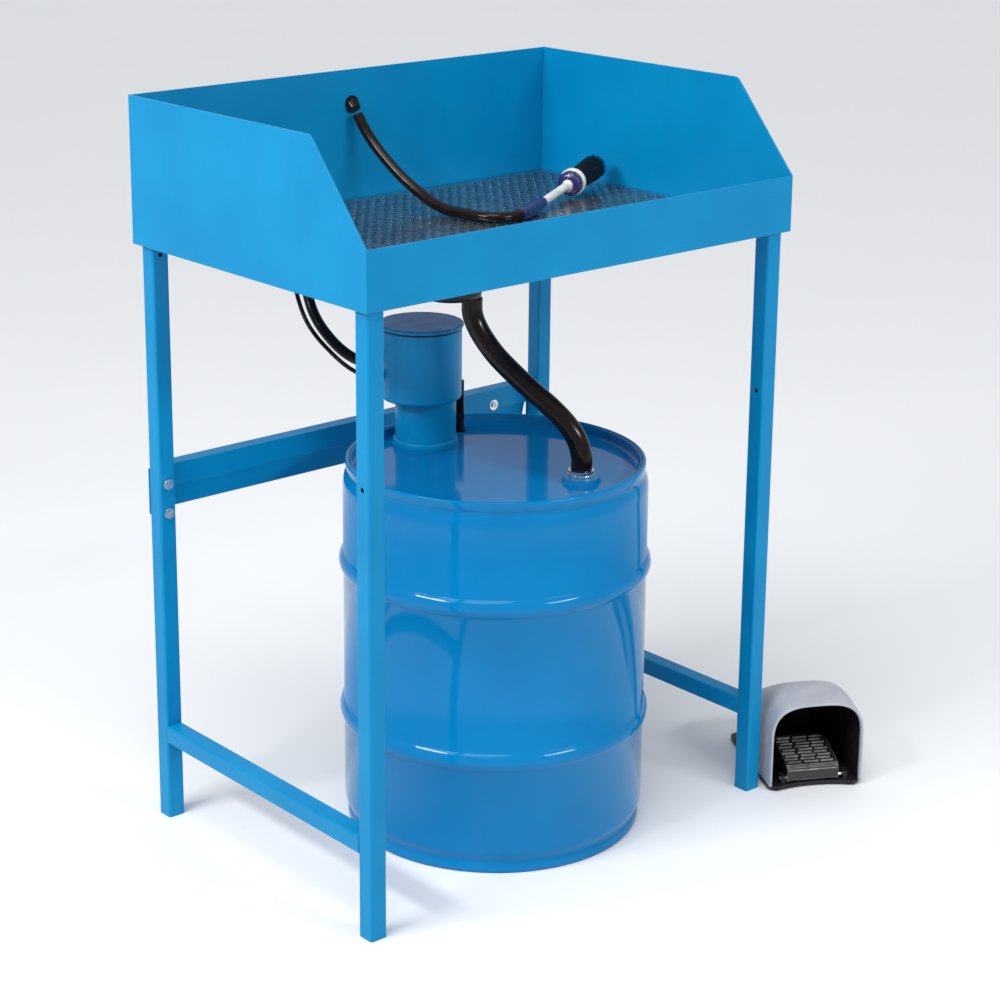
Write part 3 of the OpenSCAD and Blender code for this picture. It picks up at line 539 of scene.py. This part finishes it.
def make_hoses():
    """The three fixed hoses, the brush's hose in two pieces, and the tail of its navy sleeve."""
    hose("drain_hose_skin", DRAIN_ROUTE, 0.028, "drain_hose", sides=40)
    hose("supply_hose_skin", SUPPLY_ROUTE, HOSE_D, "supply_hose")
    hose("pump_lead_skin", LEAD_ROUTE, 0.006, "pump_lead", sides=16)
    rear, path = hose("brush_hose_rear_skin", BRUSH_ROUTE_REAR, HOSE_D, "brush_hose_rear", None)
    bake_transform(rear)
    front, path = hose("brush_hose_front_skin", BRUSH_ROUTE_FRONT, HOSE_D, "brush_hose_front", None)
    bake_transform(front)
    verts, faces = sweep(path[-len(TAIL_RADII):], TAIL_RADII, 28)
    tail = mesh_object("brush_sleeve_tail", verts, faces, NAVY, None)
    sharp_by_angle(tail, 50)
    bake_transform(tail)


make_hoses()


# ---- drum ----

DRUM_LOW, DRUM_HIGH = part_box("drum_body")
DRUM_C = (DRUM_LOW + DRUM_HIGH) / 2
DRUM_H = DRUM_HIGH.z
HOOP_R = (DRUM_HIGH.x - DRUM_LOW.x) / 2
DRUM_R = HOOP_R - 6 * MM
HOOP_HALF = 13 * MM
HOOP_STEPS = 16
HOOP_HEIGHTS = (160 * MM, 373 * MM)


def hoop_profile(z):
    """Outline of a rolled hoop at height z: a smooth swell."""
    points = []
    for i in range(HOOP_STEPS + 1):
        a = math.radians(-90 + 180 * i / HOOP_STEPS)
        swell = (HOOP_R - DRUM_R) * math.cos(a) ** 2
        points.append((DRUM_R + swell, z + HOOP_HALF * math.sin(a)))
    return points


def make_drum():
    """Shell with rolled chimes and hoops, on enough sides for clean reflections."""
    rim = DRUM_R - 4 * MM
    bead = 3 * MM
    outside = [(rim - 5 * MM, 0.0)]
    outside += arc(rim - bead, bead, bead, -90, 0, 6)
    outside += [(rim, 11 * MM), (rim - 1.6 * MM, 13.4 * MM), (rim - 2.6 * MM, 15.4 * MM),
                (rim - 1.5 * MM, 20 * MM), (DRUM_R - 1 * MM, 27 * MM), (DRUM_R, 34 * MM)]
    for height in HOOP_HEIGHTS:
        outside += hoop_profile(height)
    outside += [(DRUM_R, DRUM_H - 38 * MM), (DRUM_R - 0.8 * MM, DRUM_H - 29 * MM),
                (DRUM_R - 3.2 * MM, DRUM_H - 21 * MM), (rim - 2.6 * MM, DRUM_H - 15.4 * MM),
                (rim - 1.6 * MM, DRUM_H - 13.4 * MM), (rim, DRUM_H - 11 * MM)]
    outside += arc(rim - bead, DRUM_H - bead, bead, 0, 90, 6)
    inside = [(rim - 5.2 * MM, DRUM_H - 1.5 * MM), (rim - 5.8 * MM, DRUM_H - 4 * MM),
              (rim - 5.8 * MM, DRUM_H - 16 * MM), (rim - 5.8 * MM, 16 * MM), (rim - 5.6 * MM, 2 * MM)]
    verts, faces = lathe(outside + inside, 256, Vector((DRUM_C.x, DRUM_C.y, 0)))
    drum = mesh_object("drum_shell", verts, faces, DRUM_PAINT)
    sharp_by_angle(drum, 60)
    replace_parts(drum, "drum_body")


make_drum()


# ---- grate ----

GRATE_PITCH = (20 * MM, 8.2 * MM)
GRATE_SLOT = (13.5 * MM, 3.7 * MM)
GRATE_BORDER = 6 * MM


def grate_cell(cx, cy, outer, verts, faces, holes):
    """One slotted cell: six outer vertices already there, eight new ones round the slot."""
    half = GRATE_SLOT[0] / 2
    side = GRATE_SLOT[1] / 2
    end = half - side * 0.7
    first = len(verts)
    verts += [(cx - half, cy - side / 2), (cx - end, cy - side), (cx + end, cy - side),
              (cx + half, cy - side / 2), (cx + half, cy + side / 2), (cx + end, cy + side),
              (cx - end, cy + side), (cx - half, cy + side / 2)]
    h = [first + k for k in range(8)]
    low_left, low_mid, low_right, top_right, top_mid, top_left = outer
    faces += [(low_left, low_mid, h[1], h[0]), (low_mid, h[2], h[1]),
              (low_mid, low_right, h[3], h[2]), (low_right, top_right, h[4], h[3]),
              (top_right, top_mid, h[5], h[4]), (top_mid, h[6], h[5]),
              (top_mid, top_left, h[7], h[6]), (top_left, low_left, h[0], h[7])]
    holes.append(h)


def make_grate():
    """Finely slotted sheet: staggered slots, front to back, inside a plain border."""
    low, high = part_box("grate")
    top = high.z
    under = low.z
    # The pattern is laid out with x and y swapped, so its columns go from front to back
    low = Vector((low.y, low.x))
    high = Vector((high.y, high.x))
    pitch_x, pitch_y = GRATE_PITCH
    cols = int((high.x - low.x - 2 * GRATE_BORDER) / pitch_x)
    rows = int((high.y - low.y - 2 * GRATE_BORDER) / pitch_y)
    middle_x = (low.x + high.x) / 2
    middle_y = (low.y + high.y) / 2
    xs = [middle_x + (i - cols) * pitch_x / 2 for i in range(2 * cols + 1)]
    ys = [middle_y + (j - rows / 2) * pitch_y for j in range(rows + 1)]
    xs = [low.x] + xs + [high.x]
    ys = [low.y] + ys + [high.y]
    verts = [(x, y) for y in ys for x in xs]
    wide = len(xs)
    faces, holes = [], []

    def plain(i, j):
        a = j * wide + i
        b = a + wide
        faces.append((a, a + 1, b + 1, b))

    for j in range(len(ys) - 1):
        if j in (0, len(ys) - 2):
            for i in range(wide - 1):
                plain(i, j)
            continue
        shift = j % 2
        plain(0, j)
        plain(wide - 2, j)
        if shift:
            plain(1, j)
            plain(wide - 3, j)
        for i in range(1 + shift, wide - 3, 2):
            a = j * wide + i
            b = a + wide
            outer = (a, a + 1, a + 2, b + 2, b + 1, b)
            grate_cell(xs[i + 1], (ys[j] + ys[j + 1]) / 2, outer, verts, faces, holes)
    count = len(verts)
    solid = [Vector((x, y, top)) for y, x in verts] + [Vector((x, y, under)) for y, x in verts]
    shell = list(faces) + [tuple(v + count for v in reversed(face)) for face in faces]
    last = len(ys) - 1
    rim = list(range(wide))
    rim += [j * wide + wide - 1 for j in range(1, last + 1)]
    rim += [last * wide + i for i in range(wide - 2, -1, -1)]
    rim += [j * wide for j in range(last - 1, 0, -1)]
    for a, b in zip(rim, rim[1:] + rim[:1]):
        shell.append((b, a, a + count, b + count))
    for hole in holes:
        for a, b in zip(hole, hole[1:] + hole[:1]):
            shell.append((a, b, b + count, a + count))
    shell = [tuple(reversed(face)) for face in shell]
    obj = mesh_object("grate_sheet", solid, shell, GALVANISED, "grate", smooth=False)
    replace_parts(obj, "grate")


make_grate()


# ---- foot switch ----

SWITCH_W = 138
SWITCH_AT = (350, -14)
SWITCH_TURN = math.radians(29)

# Distance from the mouth, width and height of the hood's arches, in millimetres
HOOD_STATIONS = [
    (2, 137, 130), (28, 137, 136), (56, 138, 138), (84, 138, 130), (120, 136, 111),
    (150, 132, 93), (172, 124, 76), (184, 112, 61), (189, 98, 48),
]
HOOD_FOOT = 8.1
HOOD_WALL = 4
# Back end of the black sheet inside the hood, which is painted shade
LIP_TURNS = (35, 65, 90, 115, 145)
SHADE_SHEET_BACK = 180
ARCH_POWER = 2 / 3.2
SIDE_STEPS = 5
CROWN_STEPS = 48
SPRING_LOW = 9
SPRING_HIGH = 42
SPRING_BACK = 66
SPRING_R = 7
SPRING_WIRE = 1.6
SPRING_TURNS = 5


def in_switch(u, v, z):
    """A point measured across and along the foot switch, in millimetres."""
    c, s = math.cos(SWITCH_TURN), math.sin(SWITCH_TURN)
    return place(SWITCH_AT[0] + u * c + v * s, SWITCH_AT[1] - u * s + v * c, z)


def arch(width, height, inset):
    """Arch outline from foot to foot: straight sides and a rounded-square crown."""
    shoulder = min(70, 0.55 * height)
    half = width / 2 - inset
    top = height - inset
    heights = [HOOD_FOOT + (shoulder - HOOD_FOOT) * i / SIDE_STEPS for i in range(SIDE_STEPS)]
    points = [(half, z) for z in heights]
    for i in range(CROWN_STEPS + 1):
        c, s = math.cos(math.pi * i / CROWN_STEPS), math.sin(math.pi * i / CROWN_STEPS)
        points.append((half * math.copysign(abs(c) ** ARCH_POWER, c),
                       shoulder + (top - shoulder) * abs(s) ** ARCH_POWER))
    return points + [(-half, z) for z in reversed(heights)]


def arch_cup(name, loops, material):
    """Closed cup of arches: outer loops from the back to the mouth, then inner loops back in."""
    verts, faces = [], []
    for x, width, height, inset in loops:
        verts += [in_switch(SWITCH_W / 2 + u, x, z) for u, z in arch(width, height, inset)]
    count = len(loops)
    n = len(verts) // count
    for k in range(count - 1):
        faces += [(k * n + i, (k + 1) * n + i, (k + 1) * n + i + 1, k * n + i + 1)
                  for i in range(n - 1)]
    faces.append(tuple(range(n)))
    faces.append(tuple((count - 1) * n + i for i in range(n - 1, -1, -1)))
    for side in (0, n - 1):
        for k in range((count - 1) // 2):
            foot = [k, k + 1, count - 2 - k, count - 1 - k]
            if foot[1] == foot[2]:
                foot.pop(2)
            faces.append(tuple(m * n + side for m in foot))
    cup = mesh_object(name, verts, faces, material)
    mend(cup)
    sharp_by_angle(cup, 42)
    return cup


def make_hood():
    """Moulded guard hood: an arch shell with a rounded lip round its mouth, and a black sheet just
    inside it as painted shade.
    """
    stations = catmull([Vector(s) for s in HOOD_STATIONS], 5)
    back = stations[-1].x - HOOD_WALL
    lip = HOOD_WALL / 2
    loops = [(*s, 0) for s in reversed(stations)]
    first = stations[0]
    for turn in LIP_TURNS:
        a = math.radians(turn)
        loops.append((first.x - lip * math.sin(a), first.y, first.z, lip * (1 - math.cos(a))))
    loops += [(min(s.x, back), s.y, s.z, HOOD_WALL) for s in stations]
    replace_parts(arch_cup("hood_shell", loops, HOOD_GREY), "switch_hood")
    # A black sheet just inside the hood's walls darkens its inside: painted shade
    inner = [s for s in stations if 5 < s.x < 184]
    loops = [(min(s.x, SHADE_SHEET_BACK), s.y, s.z, HOOD_WALL + 0.15) for s in reversed(inner)]
    loops += [(min(s.x, SHADE_SHEET_BACK - 1), s.y, s.z, HOOD_WALL + 0.9) for s in inner]
    arch_cup("hood_painted_shade", loops, BLACK)


def make_spring():
    """Return spring: a wire coil with a mesh of its own."""
    steps = SPRING_TURNS * 24
    path = []
    for i in range(steps + 1):
        a = 2 * math.pi * SPRING_TURNS * i / steps
        path.append(in_switch(SWITCH_W / 2 + SPRING_R * math.cos(a),
                              SPRING_BACK + SPRING_R * math.sin(a),
                              SPRING_LOW + (SPRING_HIGH - SPRING_LOW) * i / steps))
    verts, faces = sweep(path, SPRING_WIRE / 2 * MM, 10)
    spring = mesh_object("spring_coil", verts, faces, PLATED)
    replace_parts(spring, "pedal_spring")
    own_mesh(spring)


make_hood()
make_spring()


# ---- stage ----

FLOOR_SIZE = 40.0
LAMP_SIZE = (1.3, 0.28)


def make_stage():
    """A large pale floor."""
    bpy.ops.mesh.primitive_plane_add(size=FLOOR_SIZE, location=(0, 0, 0))
    floor = bpy.context.object
    floor.name = "floor"
    material, nodes, links, shader = new_material("floor_finish")
    coords = nodes.new("ShaderNodeTexCoord")
    clouds = noise(nodes, links, coords, scale=2, detail=4)
    tone = ramp(nodes, links, clouds, [(0.3, (0.79, 0.80, 0.81)), (0.7, (0.80, 0.81, 0.82))])
    links.new(tone, shader.inputs["Base Color"])
    shader.inputs["Roughness"].default_value = 0.6
    floor.data.materials.append(material)


def add_light(data, heading):
    """Puts a light in the scene, shining along a heading."""
    light = bpy.data.objects.new(data.name, data)
    bpy.context.scene.collection.objects.link(light)
    light.rotation_mode = "QUATERNION"
    light.rotation_quaternion = Vector(heading).to_track_quat("-Z", "Y")
    return light


def area_light(name, location, target, power):
    data = bpy.data.lights.new(name, "AREA")
    data.shape = "RECTANGLE"
    data.size, data.size_y = LAMP_SIZE
    data.energy = power
    add_light(data, Vector(target) - Vector(location)).location = location


def make_light():
    """A white studio: a pale world, two lamps and one very soft sun for the shadow."""
    world = bpy.data.worlds.new("studio")
    bpy.context.scene.world = world
    world.use_nodes = True
    background = world.node_tree.nodes["Background"]
    background.inputs["Color"].default_value = (0.94, 0.96, 1.0, 1)
    background.inputs["Strength"].default_value = 0.52
    area_light("key", (-2.6, 0.1, 2.4), (0, 0, 0.6), power=62)
    area_light("front", (0.5, -3.0, 2.1), (0, 0, 0.5), power=40)
    sun = bpy.data.lights.new("sky", "SUN")
    sun.energy = 1.5
    sun.angle = math.radians(40)
    add_light(sun, (0.45, 0.25, -1))
    bpy.context.scene.view_settings.view_transform = "Standard"


make_stage()
make_light()
